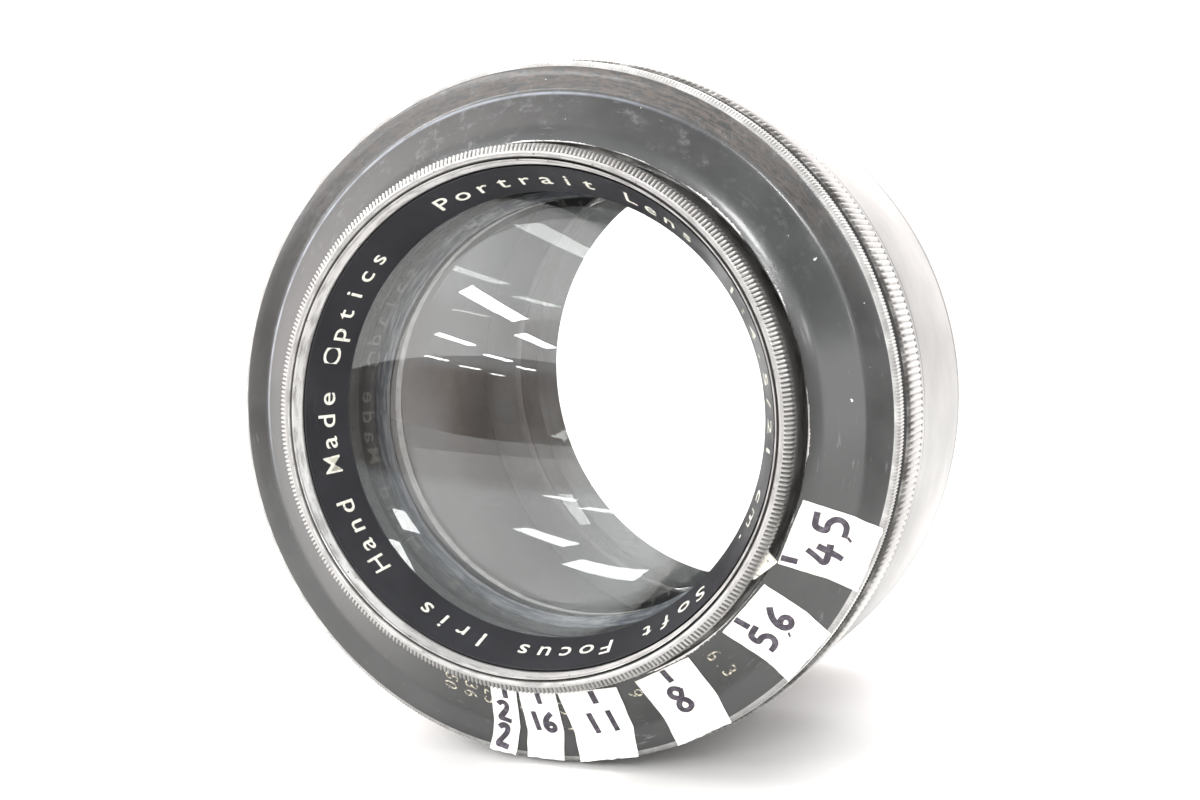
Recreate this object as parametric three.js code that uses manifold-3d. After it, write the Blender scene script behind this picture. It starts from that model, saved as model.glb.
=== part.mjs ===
// A 21 cm f/4.5 portrait lens of the 1920s, lying on its side with its front towards -Y.
// Millimetres, +Z up. The optical axis runs along Y, and the lens rests on its knurled ring at z = 0.
// In the profiles below a point is [radius, depth]; depth 0 is the face of the aperture dial,
// and it grows towards the rear. Dial angles run clockwise from +X, seen from the front.
import * as THREE from "three";
import { mergeVertices } from "three/addons/utils/BufferGeometryUtils.js";
import Module from "manifold-3d";

// ---- driving dimensions ----
const DIAL_RADIUS = 40.46; // aperture dial, over its fine knurl
const CLAMP_RADIUS = 41.0; // coarse knurled ring, the widest part
const BARREL_RADIUS = 40.8;
const BARREL_BORE = 38.4;
const BARREL_REAR = 37.3; // depth of the barrel's rear face, which seats on a lens board
const SETTING_RADIUS = 30.72; // knurled iris setting ring
const SETTING_FRONT = -8.78;
const CELL_RADIUS = 28.98; // outside of the front lens cell
const CELL_LIP = -8.65;
const GLASS_RADIUS = 26.6;
const CLEAR_RADIUS = 25.65; // glass left clear by the name ring
const TUBE_RADIUS = 31.5; // rear tube, which passes through a lens board
const MIDDLE = 31.5; // depth of the plane about which the two glass groups mirror each other
const FIT = 0.3; // gap between pieces that touch

// glass: surface radii and centre thicknesses of one cemented pair, outermost surface first
const OUTER_CURVE = 60;
const CEMENT_CURVE = 180;
const INNER_CURVE = 91.2;
const CROWN_THICKNESS = 8;
const FLINT_THICKNESS = 2.5;
const CEMENT = 0.1;
const FRONT_VERTEX = -6.45;

// iris: blades turn on pins in the fixed pivot plate, and heel pins ride in the slots of the cam ring
const BLADES = 12;
const OPEN_RADIUS = 23.3; // inner edge of the open blades, for f/4.5
const CLOSED_RADIUS = 2.0; // opening at f/50
const BLADE_OUTER = 31.8;
const BLADE_SPAN = 118; // degrees of arc that a blade covers
const BLADE_THICKNESS = 0.15;
const BLADE_PITCH = 0.23; // each blade lies one level behind the one before it
const FIRST_BLADE = 12.0;
const PIVOT_CIRCLE = 33;
const HEEL_LENGTH = 5.8;
const HEEL_START = -8; // degrees that the heel points inwards of the tangent when open
const SETTING_TRAVEL = 82.5; // degrees the setting ring turns from f/4.5 to f/50
const PIN_RADIUS = 0.35;
const CAM_SLOT = 0.5; // half the width of a cam slot
const CAM_FRONT = 10.4;
const CAM_REAR = 11.6;
const PIVOT_PLATE_FRONT = 15.1;
const PIVOT_PLATE_REAR = 16.6;
const BODY_PLATE_FRONT = 8.0;
const BODY_PLATE_REAR = 10.0;
const DRIVE_PIN = { radius: 0.6, hole: 0.85, circle: 30.9, angle: 200 };

// aperture dial: paper labels over the engraved numbers, and the index on the setting ring
const INDEX_ANGLE = 27.3;
const LABELS = [
  { name: "paper_label_4.5", angle: 21.5, width: 7.5 },
  { name: "paper_label_5.6", angle: 40.2, width: 7.3 },
  { name: "paper_label_8", angle: 62.4, width: 7.0 },
  { name: "paper_label_11", angle: 79.7, width: 7.2 },
  { name: "paper_label_16", angle: 91.0, width: 4.6 },
  { name: "paper_label_22", angle: 98.6, width: 3.3 },
];
const CONE_INNER = [31.27, -3.44];
const CONE_OUTER = [36.83, -0.1];

// facets: a multiple of four with a flat at the bottom, so that the lens stands still
const OUTER_FACETS = 60;
const INNER_FACETS = 40;

const wasm = await Module();
wasm.setup();

const rad = THREE.MathUtils.degToRad;
const lens = new THREE.Group();

// ---- materials ----
const finish = (color, roughness, metalness) =>
  new THREE.MeshStandardMaterial({ color, roughness, metalness });
const FINISH = {
  lacquer: () => finish(0x2c2e2f, 0.35, 0.3),
  matt: () => finish(0x1c1c1e, 0.8, 0.1),
  worn: () => finish(0x9a9b9a, 0.4, 0.9),
  satin: () => finish(0xdcdcda, 0.35, 0.9),
  brass: () => finish(0xb08d4a, 0.35, 1.0),
  blade: () => finish(0x2a2b30, 0.45, 0.8),
  glass: () => finish(0xdfe8ea, 0.05, 0.0),
  paper: () => finish(0xf4f3ee, 0.9, 0.0),
  white: () => finish(0xecebe2, 0.6, 0.0),
};

// ---- shape helpers ----
function add(name, geometry, material) {
  const mesh = new THREE.Mesh(geometry, material);
  mesh.name = name;
  lens.add(mesh);
  return mesh;
}

// A turned piece. An open profile starts and ends on the axis; any other closes on itself.
function turned(profile, facets) {
  const points = profile.map(([r, y]) => new THREE.Vector2(r, y));
  if (THREE.ShapeUtils.isClockWise(points)) points.reverse();
  const onAxis = points.some((p) => p.x === 0);
  while (onAxis && !(points[0].x === 0 && points.at(-1).x === 0)) points.push(points.shift());
  if (!onAxis) points.push(points[0].clone());
  return new THREE.LatheGeometry(points, facets, Math.PI / facets);
}

// A flat piece cut from a shape in dial coordinates, between two depths.
function plate(shape, front, rear) {
  const geometry = new THREE.ExtrudeGeometry(shape, { depth: rear - front, bevelEnabled: false });
  return geometry.rotateX(-Math.PI / 2).translate(0, front, 0);
}

const polar = (r, degrees) => new THREE.Vector2(r * Math.cos(rad(degrees)), r * Math.sin(rad(degrees)));

// Points of an arc about a centre, both ends included.
function arc(centre, r, from, to, steps) {
  return Array.from({ length: steps + 1 }, (_, i) => polar(r, from + ((to - from) * i) / steps).add(centre));
}

const AXIS = new THREE.Vector2(0, 0);
const circle = (r, facets, centre = AXIS) =>
  arc(centre, r, 180 / facets, 360 + 180 / facets, facets).slice(0, -1);

// The outline of a slot that follows a path of points, with rounded ends.
function slotAround(path, half) {
  const heading = path.map((p, i) => {
    const before = path[Math.max(i - 1, 0)];
    const after = path[Math.min(i + 1, path.length - 1)];
    return THREE.MathUtils.radToDeg(after.clone().sub(before).angle());
  });
  const side = (turn) => path.map((p, i) => polar(half, heading[i] + turn).add(p));
  const end = arc(path.at(-1), half, heading.at(-1) - 90, heading.at(-1) + 90, 4).slice(1, -1);
  const start = arc(path[0], half, heading[0] + 90, heading[0] + 270, 4).slice(1, -1);
  return [...side(-90), ...end, ...side(90).reverse(), ...start];
}

function solid(geometry) {
  const bare = geometry.index ? geometry.toNonIndexed() : geometry.clone();
  bare.deleteAttribute("normal");
  bare.deleteAttribute("uv");
  const merged = mergeVertices(bare, 1e-4);
  const vertProperties = merged.attributes.position.array;
  const triVerts = new Uint32Array(merged.index.array);
  return new wasm.Manifold(new wasm.Mesh({ numProp: 3, vertProperties, triVerts }));
}

function geometryOf(manifold) {
  const { vertProperties, triVerts } = manifold.getMesh();
  const geometry = new THREE.BufferGeometry();
  geometry.setAttribute("position", new THREE.BufferAttribute(vertProperties, 3));
  geometry.setIndex(new THREE.BufferAttribute(triVerts, 1));
  return geometry;
}

const mirrored = (profile) => profile.map(([r, y]) => [r, 2 * MIDDLE - y]);

// ---- aperture dial, knurled clamp ring and barrel ----
add(
  "aperture_dial",
  turned(
    [
      [31.0, -3.25],
      CONE_INNER,
      CONE_OUTER,
      [40.0, 0],
      [DIAL_RADIUS, 0.35],
      [DIAL_RADIUS, 2.72],
      [31.0, 2.72],
    ],
    OUTER_FACETS,
  ),
  FINISH.lacquer(),
);

add(
  "clamp_ring",
  turned(
    [
      [39.5, 3.13],
      [40.7, 3.13],
      [CLAMP_RADIUS, 3.45],
      [CLAMP_RADIUS, 11.1],
      [40.7, 11.4],
      [39.5, 11.4],
    ],
    OUTER_FACETS,
  ),
  FINISH.worn(),
);

add(
  "barrel_shell",
  turned(
    [
      [BARREL_BORE, 3.4],
      [39.3, 3.4],
      [39.3, 11.7],
      [BARREL_RADIUS, 11.7],
      [BARREL_RADIUS, BARREL_REAR - 0.3],
      [BARREL_RADIUS - 0.3, BARREL_REAR],
      [TUBE_RADIUS + FIT, BARREL_REAR],
      [TUBE_RADIUS + FIT, 34.3],
      [37.0, 34.3],
      [37.0, PIVOT_PLATE_REAR + FIT],
      [BARREL_BORE, PIVOT_PLATE_REAR + FIT],
    ],
    OUTER_FACETS,
  ),
  FINISH.satin(),
);

// ---- body plate, with the arc slot that the drive pin passes through, and its three posts ----
const PLATE_RADIUS = BARREL_BORE - 0.2;
const bodyPlate = new THREE.Shape(circle(PLATE_RADIUS, OUTER_FACETS));
const arcSlot = arc(AXIS, DRIVE_PIN.circle, DRIVE_PIN.angle - 1, DRIVE_PIN.angle + SETTING_TRAVEL + 1, 16);
bodyPlate.holes.push(new THREE.Path(circle(27.35, INNER_FACETS)));
bodyPlate.holes.push(new THREE.Path(slotAround(arcSlot, DRIVE_PIN.hole)));
add("body_plate", plate(bodyPlate, BODY_PLATE_FRONT, BODY_PLATE_REAR), FINISH.brass());

for (const i of [0, 1, 2]) {
  const post = new THREE.Shape(circle(1.3, 10, polar(35.2, 45 + 120 * i)));
  add(`dial_post_${i + 1}`, plate(post, 2.72 + FIT, BODY_PLATE_FRONT - FIT), FINISH.brass());
}

// ---- front cell and name ring; the rear cell and its ring mirror them ----
add(
  "front_cell",
  turned(
    [
      [28.42, -6.8],
      [28.85, CELL_LIP],
      [CELL_RADIUS, -8.55],
      [CELL_RADIUS, 7.7],
      [27.2, 7.7],
      [27.2, 10.0],
      [25.3, 10.0],
      [25.3, 8.4],
      [26.85, 8.4],
      [26.85, -0.45],
      [28.42, -0.45],
    ],
    INNER_FACETS,
  ),
  FINISH.worn(),
);

add(
  "name_ring",
  turned(
    [
      [CLEAR_RADIUS, -0.9],
      [28.25, -6.85],
      [28.25, -0.75],
      [CLEAR_RADIUS, -0.75],
    ],
    INNER_FACETS,
  ),
  FINISH.matt(),
);

add(
  "rear_cell",
  turned(
    mirrored([
      [25.3, 8.4],
      [26.85, 8.4],
      [26.85, -0.45],
      [28.42, -0.45],
      [28.42, -6.8],
      [28.85, CELL_LIP],
      [31.2, CELL_LIP],
      [TUBE_RADIUS, -8.35],
      [TUBE_RADIUS, 3.2],
      [28.7, 3.2],
      [28.7, 10.0],
      [25.3, 10.0],
    ]),
    INNER_FACETS,
  ),
  FINISH.lacquer(),
);

add(
  "rear_ring",
  turned(
    mirrored([
      [24.6, -1.5],
      [28.25, -6.85],
      [28.25, -0.75],
      [25.7, -0.75],
      [24.6, -1.3],
    ]),
    INNER_FACETS,
  ),
  FINISH.matt(),
);

add(
  "rear_tube",
  turned(
    [
      [28.95, 31.0],
      [34.8, 31.0],
      [34.8, 34.0],
      [TUBE_RADIUS, 34.0],
      [TUBE_RADIUS, 59.5],
      [28.95, 59.5],
    ],
    INNER_FACETS,
  ),
  FINISH.lacquer(),
);

// ---- glass: a cemented crown and flint in each cell ----
// Points of a spherical surface from the axis to the rim, with its vertex at the given depth.
function surface(vertex, curve) {
  return [0, 0.4, 0.72, 1].map((share) => {
    const r = share * GLASS_RADIUS;
    return [r, vertex + curve - Math.sqrt(curve * curve - r * r)];
  });
}

const cementVertex = FRONT_VERTEX + CROWN_THICKNESS;
const crown = [
  ...surface(FRONT_VERTEX, OUTER_CURVE),
  ...surface(cementVertex, CEMENT_CURVE).reverse(),
];
const flint = [
  ...surface(cementVertex + CEMENT, CEMENT_CURVE),
  ...surface(cementVertex + CEMENT + FLINT_THICKNESS, INNER_CURVE).reverse(),
];
add("front_crown", turned(crown, INNER_FACETS), FINISH.glass());
add("front_flint", turned(flint, INNER_FACETS), FINISH.glass());
add("rear_flint", turned(mirrored(flint), INNER_FACETS), FINISH.glass());
add("rear_crown", turned(mirrored(crown), INNER_FACETS), FINISH.glass());

// ---- setting ring, with a pocket for the drive pin, and its index ----
const settingBody = turned(
  [
    [29.15, -8.6],
    [29.35, SETTING_FRONT],
    [30.1, SETTING_FRONT],
    [SETTING_RADIUS, -8.3],
    [SETTING_RADIUS, -6.5],
    [30.0, -6.1],
    [30.0, 3.05],
    [33.0, 3.05],
    [33.0, 7.4],
    [29.15, 7.4],
  ],
  OUTER_FACETS,
);
const pinCentre = polar(DRIVE_PIN.circle, DRIVE_PIN.angle);
const pocket = plate(new THREE.Shape(circle(DRIVE_PIN.hole, 10, pinCentre)), 5.0, 9.0);
add("setting_ring", geometryOf(solid(settingBody).subtract(solid(pocket))), FINISH.worn());
const drivePin = new THREE.Shape(circle(DRIVE_PIN.radius, 10, pinCentre));
add("drive_pin", plate(drivePin, 5.0 + FIT, CAM_REAR), FINISH.brass());

// The index stands out of the knurl, with its tip near the end of its base, over the f/4.5 mark.
const index = new THREE.Shape([
  polar(30.15, INDEX_ANGLE - 1.2),
  polar(31.9, INDEX_ANGLE),
  polar(30.75, INDEX_ANGLE + 5.4),
  polar(30.15, INDEX_ANGLE + 5.4),
]);
add("index_pointer", plate(index, -6.0, -5.2), FINISH.white());

// ---- iris ----
const bladeTurn = 2 * Math.asin((OPEN_RADIUS - CLOSED_RADIUS) / (2 * PIVOT_CIRCLE));
const bladeTurnDegrees = THREE.MathUtils.radToDeg(bladeTurn);

// Where the heel pin stands, in the cam ring's own frame, when the iris is part closed.
function heelPin(closed) {
  const heel = polar(HEEL_LENGTH, HEEL_START + closed * bladeTurnDegrees - 90);
  return heel.add(new THREE.Vector2(PIVOT_CIRCLE, 0)).rotateAround(AXIS, rad(-closed * SETTING_TRAVEL));
}

const camRing = new THREE.Shape(circle(37.0, OUTER_FACETS));
camRing.holes.push(new THREE.Path(circle(24.4, INNER_FACETS)));
camRing.holes.push(new THREE.Path(circle(DRIVE_PIN.hole, 10, pinCentre)));
const SLOT_STEPS = 12;
for (let k = 0; k < BLADES; k++) {
  const path = Array.from({ length: SLOT_STEPS + 1 }, (_, i) =>
    heelPin(i / SLOT_STEPS).rotateAround(AXIS, (2 * Math.PI * k) / BLADES),
  );
  camRing.holes.push(new THREE.Path(slotAround(path, CAM_SLOT)));
}
add("cam_ring", plate(camRing, CAM_FRONT, CAM_REAR), FINISH.brass());

const pivotPlate = new THREE.Shape(circle(PLATE_RADIUS, OUTER_FACETS));
pivotPlate.holes.push(new THREE.Path(circle(OPEN_RADIUS - 0.15, OUTER_FACETS)));
for (let k = 0; k < BLADES; k++) {
  const centre = polar(PIVOT_CIRCLE, (360 * k) / BLADES);
  pivotPlate.holes.push(new THREE.Path(circle(PIN_RADIUS + 0.12, 8, centre)));
}
add("pivot_plate", plate(pivotPlate, PIVOT_PLATE_FRONT, PIVOT_PLATE_REAR), FINISH.matt());

add(
  "iris_spacer",
  turned(
    [
      [37.3, BODY_PLATE_REAR + FIT],
      [PLATE_RADIUS, BODY_PLATE_REAR + FIT],
      [PLATE_RADIUS, PIVOT_PLATE_FRONT - 0.2],
      [37.3, PIVOT_PLATE_FRONT - 0.2],
    ],
    OUTER_FACETS,
  ),
  FINISH.brass(),
);

// A crescent with an eye round the pivot and a heel that reaches back to the cam slot.
const pivot = new THREE.Vector2(PIVOT_CIRCLE, 0);
const heel = heelPin(0);
const crescent = new THREE.Shape([
  ...arc(AXIS, OPEN_RADIUS, -3, BLADE_SPAN, 14),
  ...arc(AXIS, BLADE_OUTER, BLADE_SPAN - 2, 4, 14),
  polar(PIVOT_CIRCLE + 0.9, 1.4),
  polar(PIVOT_CIRCLE + 0.9, -1.4),
  polar(heel.length() + 0.8, -9.4),
  ...arc(heel, 0.8, 30, -150, 4),
  polar(BLADE_OUTER - 0.4, -5),
  polar(BLADE_OUTER - 1.2, -3),
]);
for (let k = 0; k < BLADES; k++) {
  const front = FIRST_BLADE + k * BLADE_PITCH;
  const rear = front + BLADE_THICKNESS;
  const pivotPin = plate(new THREE.Shape(circle(PIN_RADIUS, 8, pivot)), front, PIVOT_PLATE_REAR - 0.2);
  const slotPin = plate(new THREE.Shape(circle(PIN_RADIUS, 8, heel)), CAM_FRONT + 0.2, rear);
  const blade = solid(plate(crescent, front, rear)).add(solid(pivotPin)).add(solid(slotPin));
  add(`iris_blade_${k + 1}`, geometryOf(blade), FINISH.blade()).rotation.y = (2 * Math.PI * k) / BLADES;
}

// ---- paper labels: strips stuck down the cone and across the flat band ----
const PAPER = 0.2;
const PAPER_GAP = 0.08;
for (const { name, angle, width } of LABELS) {
  const under = [CONE_INNER, CONE_OUTER, [40.2, 0]].map(([r, y]) => new THREE.Vector2(r, y - PAPER_GAP));
  const over = under.map((p) => new THREE.Vector2(p.x, p.y - PAPER)).reverse();
  const strip = new THREE.ExtrudeGeometry(new THREE.Shape([...under, ...over]), {
    depth: width,
    bevelEnabled: false,
  });
  add(name, strip.translate(0, 0, -width / 2), FINISH.paper()).rotation.y = rad(angle);
}

// The origin is under the middle of the lens, on the surface that it rests on.
const rearEnd = 2 * MIDDLE - CELL_LIP;
lens.position.set(0, -(SETTING_FRONT + rearEnd) / 2, CLAMP_RADIUS * Math.cos(Math.PI / OUTER_FACETS));

export default lens;
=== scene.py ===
import math

import bmesh
import bpy
from bpy.props import FloatProperty, FloatVectorProperty, IntProperty, PointerProperty, StringProperty
from mathutils import Matrix, Vector, noise


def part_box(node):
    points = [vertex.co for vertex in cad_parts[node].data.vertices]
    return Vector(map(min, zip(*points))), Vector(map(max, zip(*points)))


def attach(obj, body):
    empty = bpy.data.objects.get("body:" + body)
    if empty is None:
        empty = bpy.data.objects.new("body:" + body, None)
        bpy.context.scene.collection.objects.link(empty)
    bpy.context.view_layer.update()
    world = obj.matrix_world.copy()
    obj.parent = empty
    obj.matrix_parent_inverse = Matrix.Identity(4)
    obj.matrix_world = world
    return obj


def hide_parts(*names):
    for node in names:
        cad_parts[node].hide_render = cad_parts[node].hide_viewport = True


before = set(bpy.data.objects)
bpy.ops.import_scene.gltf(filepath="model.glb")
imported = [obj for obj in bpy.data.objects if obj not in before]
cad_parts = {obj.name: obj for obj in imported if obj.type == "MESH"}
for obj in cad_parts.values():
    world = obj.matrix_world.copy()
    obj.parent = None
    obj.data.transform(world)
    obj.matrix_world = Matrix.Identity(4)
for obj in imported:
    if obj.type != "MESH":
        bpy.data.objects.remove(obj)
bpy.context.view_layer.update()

bl_info = {
    "name": "Portrait Lens",
    "version": (1, 0, 0),
    "blender": (4, 5, 0),
    "location": "3D View > Sidebar > Lens",
    "description": "Builds a lacquered portrait lens with an iris scale around its turned frame",
    "category": "Object",
}

MM = 0.001

# The lens axis runs along Y. Profiles are (radius, depth) in millimetres, depth 0 is the dial's face.
CLAMP_FRONT = 3.13
_low, _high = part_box("clamp_ring")
AXIS = Vector(((_low.x + _high.x) / 2, _low.y - CLAMP_FRONT * MM, (_low.z + _high.z) / 2))
TO_PLACE = Matrix.Translation(AXIS) @ Matrix.Scale(MM, 4)

MIDDLE = 31.5  # depth of the plane about which the two glass groups mirror each other
CONE_INNER = (31.27, -3.44)
CONE_OUTER = (36.83, -0.1)
CONE_RISE = 0.6  # depth that the cone gains for each millimetre outwards
NAME_INNER = (25.65, -0.9)
NAME_OUTER = (28.25, -6.85)
INDEX_ANGLE = 27.3
POINTER_FRONT = -6.0
POINTER_THICKNESS = 0.8

# the dial's old scale: the angle of each number, and of the ticks that still show
SCALE = {"6.3": 52.5, "9": 70.8, "12.5": 86.9, "18": 94.6, "25": 102.2, "36": 106.6, "50": 111.2}
SCALE_TICKS = (105.5, 109.8, 68.9, 45.6, 87.0)
NUMBER_START = 32.4
TICK_RADIUS = 31.85
TICK_SIZE = (0.9, 0.12, 0.04)

# ground glass surfaces: depth of the middle, and radius of the curve
OUTER_SURFACE = (-6.45, 60)
BETWEEN_SURFACE = (1.55, -350)
INNER_SURFACE = (4.15, 91.2)
GLASS_RADIUS = 26.6

# paper labels: the radii of their ends, and how they lie on the dial
LABEL_START = 31.35
LABEL_END = 40.15
LABEL_LIFT = 0.115
LABEL_THICKNESS = 0.11
WRINKLE = 0.035
INK_LIFT = 0.02

# the stage, in metres
CAMERA_PLACE = (0.0796, -0.2343, 0.0599)
CAMERA_AIM = (-0.340, 0.937, -0.0786)
TUBE_HEIGHT = 1.95
TUBE_ROWS = (
    (4.6, (-8.0, -12.0)), (0.9, (-4.3, -7.8)), (-3.0, (-4.4, -7.8)), (-6.6, (-6.9, -11.0, -15.2)),
    (-11.8, (-10.4, -14.8, -19.7)),
)


# ---- settings ----
class LensSizes(bpy.types.PropertyGroup):
    """Sizes of the fine work on the lens, in millimetres"""

    rim_teeth: IntProperty(
        name="Rim teeth", description="Teeth of the fine knurl round the dial", default=650
    )
    clamp_teeth: IntProperty(
        name="Clamp teeth", description="Teeth of the coarse knurl on the clamp ring", default=345
    )
    ring_teeth: IntProperty(name="Ring teeth", description="Teeth round the iris setting ring", default=375)
    rim_cut: FloatProperty(name="Rim cut", description="Depth of the fine knurl (mm)", default=0.13)
    clamp_cut: FloatProperty(name="Clamp cut", description="Depth of the coarse knurl (mm)", default=0.28)
    ring_cut: FloatProperty(
        name="Ring cut", description="Depth of the setting ring's knurl (mm)", default=0.3
    )
    letter_height: FloatProperty(
        name="Letter height", description="Capital letters on the name ring (mm)", default=2.5
    )
    digit_height: FloatProperty(name="Digit height", description="Engraved scale digits (mm)", default=1.85)
    marker_width: FloatProperty(
        name="Marker width", description="Width of the handwriting (mm)", default=0.72
    )
    lettering: StringProperty(
        name="Lettering",
        description="Words engraved round the name ring, one space for each empty place",
        default="Portrait Lens  1:4.5/21 cm.  Soft Focus Iris  Hand Made Optics   ",
    )
    lettering_start: FloatProperty(
        name="Lettering start", description="Dial angle of the first letter (degrees)", default=-116.0
    )


class LensColours(bpy.types.PropertyGroup):
    """Colours of the finishes"""

    lacquer: FloatVectorProperty(
        name="Lacquer", description="Black lacquer of the dial", subtype="COLOR", size=3,
        default=(0.017, 0.018, 0.018),
    )
    # brown patina of the handled lacquer, also painted as a sheen at the top of the dial's band
    patina_and_sheen: FloatVectorProperty(
        name="Patina", description="Brown of the handled lacquer", subtype="COLOR", size=3,
        default=(0.088, 0.07, 0.058),
    )
    nickel: FloatVectorProperty(
        name="Nickel", description="Worn bright metal of the knurls", subtype="COLOR", size=3,
        default=(0.43, 0.428, 0.42),
    )
    barrel: FloatVectorProperty(
        name="Barrel", description="Satin metal of the barrel", subtype="COLOR", size=3,
        default=(0.37, 0.37, 0.366),
    )
    matt: FloatVectorProperty(
        name="Matt black", description="Name ring and the inside", subtype="COLOR", size=3,
        default=(0.026, 0.026, 0.03),
    )
    letters: FloatVectorProperty(
        name="Letters", description="Filling of the engraved letters", subtype="COLOR", size=3,
        default=(0.78, 0.77, 0.68),
    )
    paper: FloatVectorProperty(
        name="Paper", description="Paper labels", subtype="COLOR", size=3,
        default=(0.87, 0.865, 0.83),
    )
    ink: FloatVectorProperty(
        name="Ink", description="Marker on the labels", subtype="COLOR", size=3,
        default=(0.028, 0.022, 0.034),
    )
    brass: FloatVectorProperty(
        name="Brass", description="Bare brass inside", subtype="COLOR", size=3,
        default=(0.62, 0.43, 0.19),
    )
    steel: FloatVectorProperty(
        name="Blade steel", description="Blued steel of the iris", subtype="COLOR", size=3,
        default=(0.1, 0.105, 0.125),
    )


# ---- materials ----
class Nodes:
    """Makes and links the nodes of one tree. Values can be numbers, colours or another node's output."""

    def __init__(self, tree):
        self.tree = tree
        self.point = None

    def node(self, kind, **settings):
        made = self.tree.nodes.new(kind)
        for key, value in settings.items():
            setattr(made, key, value)
        return made

    def link(self, source, socket):
        if hasattr(source, "is_output"):
            self.tree.links.new(source, socket)
        else:
            socket.default_value = source

    def math(self, operation, a, b=0.0, clamp=False):
        made = self.node("ShaderNodeMath", operation=operation, use_clamp=clamp)
        self.link(a, made.inputs[0])
        self.link(b, made.inputs[1])
        return made.outputs[0]

    def vector_math(self, operation, a, b=(0, 0, 0), out="Vector"):
        made = self.node("ShaderNodeVectorMath", operation=operation)
        self.link(a, made.inputs[0])
        self.link(b, made.inputs[1])
        return made.outputs[out]

    def between(self, value, low, high, to_low=0.0, to_high=1.0):
        """A smooth step from to_low to to_high as value goes from low to high."""
        made = self.node("ShaderNodeMapRange", interpolation_type="SMOOTHSTEP")
        self.link(value, made.inputs["Value"])
        for name, number in (("From Min", low), ("From Max", high), ("To Min", to_low), ("To Max", to_high)):
            self.link(number, made.inputs[name])
        return made.outputs["Result"]

    def noise(self, scale, detail=3.0, roughness=0.55, vector=None):
        made = self.node("ShaderNodeTexNoise")
        self.link(vector or self.point, made.inputs["Vector"])
        made.inputs["Scale"].default_value = scale
        made.inputs["Detail"].default_value = detail
        made.inputs["Roughness"].default_value = roughness
        return made.outputs["Fac"]

    def mix(self, factor, a, b):
        made = self.node("ShaderNodeMix", data_type="RGBA")
        self.link(factor, made.inputs["Factor"])
        for socket, colour in ((made.inputs[6], a), (made.inputs[7], b)):
            self.link(colour if hasattr(colour, "is_output") else (*colour[:3], 1.0), socket)
        return made.outputs[2]

    def blend(self, factor, a, b):
        """The number a where factor is 0, and b where it is 1."""
        made = self.node("ShaderNodeMix")
        for socket, value in ((0, factor), (2, a), (3, b)):
            self.link(value, made.inputs[socket])
        return made.outputs[0]


class Finish(Nodes):
    """A node material. Its patterns are read in millimetres about the lens axis: X right, Y depth, Z up."""

    def __init__(self, name):
        self.material = bpy.data.materials.new(name)
        self.material.use_nodes = True
        super().__init__(self.material.node_tree)
        self.shader = self.tree.nodes["Principled BSDF"]
        self.output = self.tree.nodes["Material Output"]
        place = self.node("ShaderNodeTexCoord")
        centre = self.node("ShaderNodeMapping")
        centre.inputs["Scale"].default_value = (1000, 1000, 1000)
        centre.inputs["Location"].default_value = -AXIS * 1000
        self.link(place.outputs["Object"], centre.inputs["Vector"])
        self.point = centre.outputs["Vector"]
        across = self.vector_math("MULTIPLY", self.point, (1, 0, 1))
        self.radius = self.vector_math("LENGTH", across, out="Value")
        split = self.node("ShaderNodeSeparateXYZ")
        self.link(self.point, split.inputs[0])
        self.x, self.depth, self.z = split.outputs

    def rings(self, scale, spread=0.05):
        """Noise drawn out round the axis, as turning and handling leave it."""
        drawn = self.node("ShaderNodeCombineXYZ")
        self.link(self.math("ADD", self.radius, self.math("MULTIPLY", self.depth, 1.37)), drawn.inputs[0])
        self.link(self.math("MULTIPLY", self.x, spread), drawn.inputs[1])
        self.link(self.math("MULTIPLY", self.z, spread), drawn.inputs[2])
        return self.noise(scale, 4.0, 0.6, vector=drawn.outputs[0])

    def bump(self, height, distance):
        made = self.node("ShaderNodeBump")
        made.inputs["Distance"].default_value = distance * MM
        self.link(height, made.inputs["Height"])
        self.link(made.outputs[0], self.shader.inputs["Normal"])

    def set(self, **values):
        names = {
            "colour": "Base Color",
            "metal": "Metallic",
            "roughness": "Roughness",
            "ior": "IOR",
            "specular": "Specular IOR Level",
            "coat": "Coat Weight",
            "coat_roughness": "Coat Roughness",
            "transmission": "Transmission Weight",
        }
        for key, value in values.items():
            if key == "colour" and not hasattr(value, "is_output"):
                value = (*value[:3], 1.0)
            self.link(value, self.shader.inputs[names[key]])


FINISHES = {}


def finish(name):
    """The material of that name, made the first time it is asked for."""
    if name not in FINISHES:
        FINISHES[name] = MAKERS[name](bpy.context.scene.lens_colours)
    return FINISHES[name]


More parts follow.
